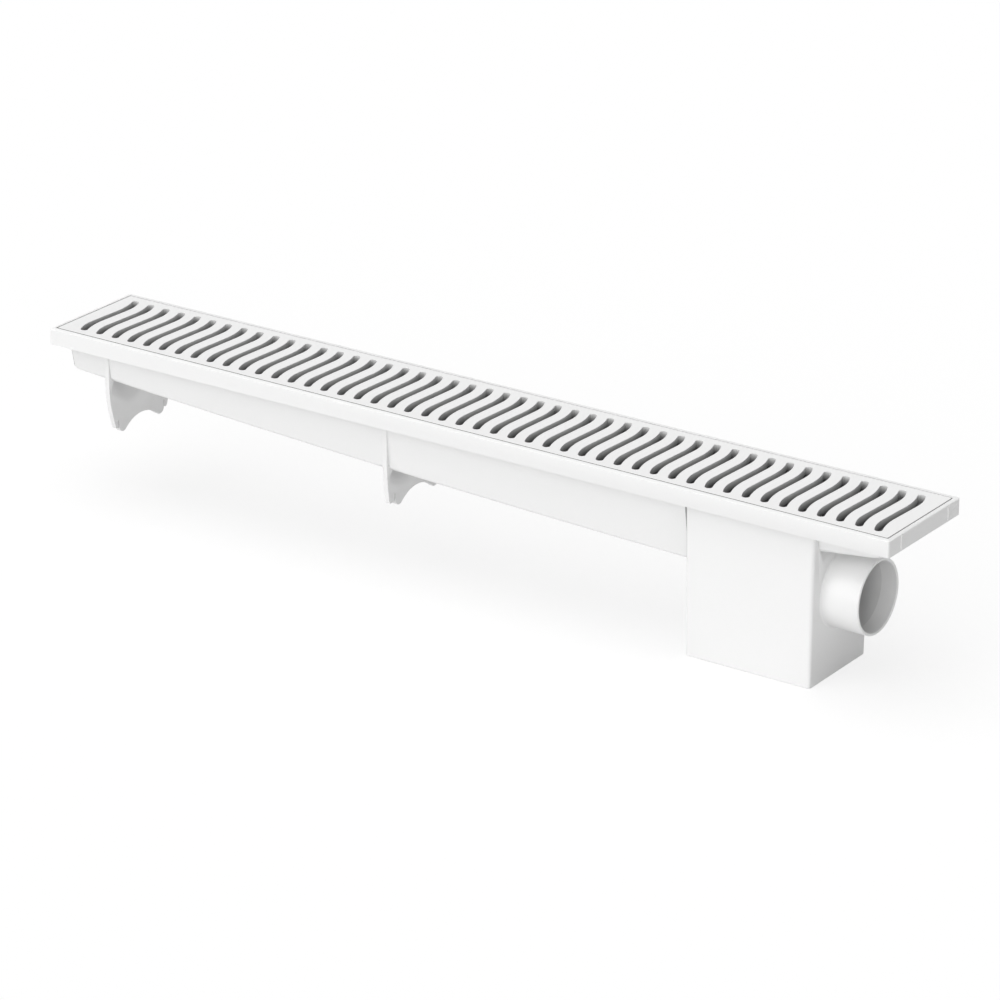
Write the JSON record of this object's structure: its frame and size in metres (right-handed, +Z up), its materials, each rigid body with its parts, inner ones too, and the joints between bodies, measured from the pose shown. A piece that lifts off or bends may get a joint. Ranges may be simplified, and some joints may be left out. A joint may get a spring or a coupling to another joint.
{
  "type": "channel drain",
  "caption": "Linear floor drain: sloping trough with slotted drop-in grate, arched feet and a deep trap box with a side outlet spigot",
  "frame": {"origin": "under the middle of the rim, on the plane of the trap box's underside", "axes": "+X along the channel towards the outlet, +Y across the channel, +Z up through the grate"},
  "size_m": [0.5006, 0.066, 0.0888],
  "materials": {
    "body": "satin moulded white",
    "grate": "satin moulded white",
    "baffle": "plain moulded white"
  },
  "bodies": {
    "root": {"channel_body": "body", "grate": "grate", "trap_baffle": "baffle"}
  },
  "joints": []
}
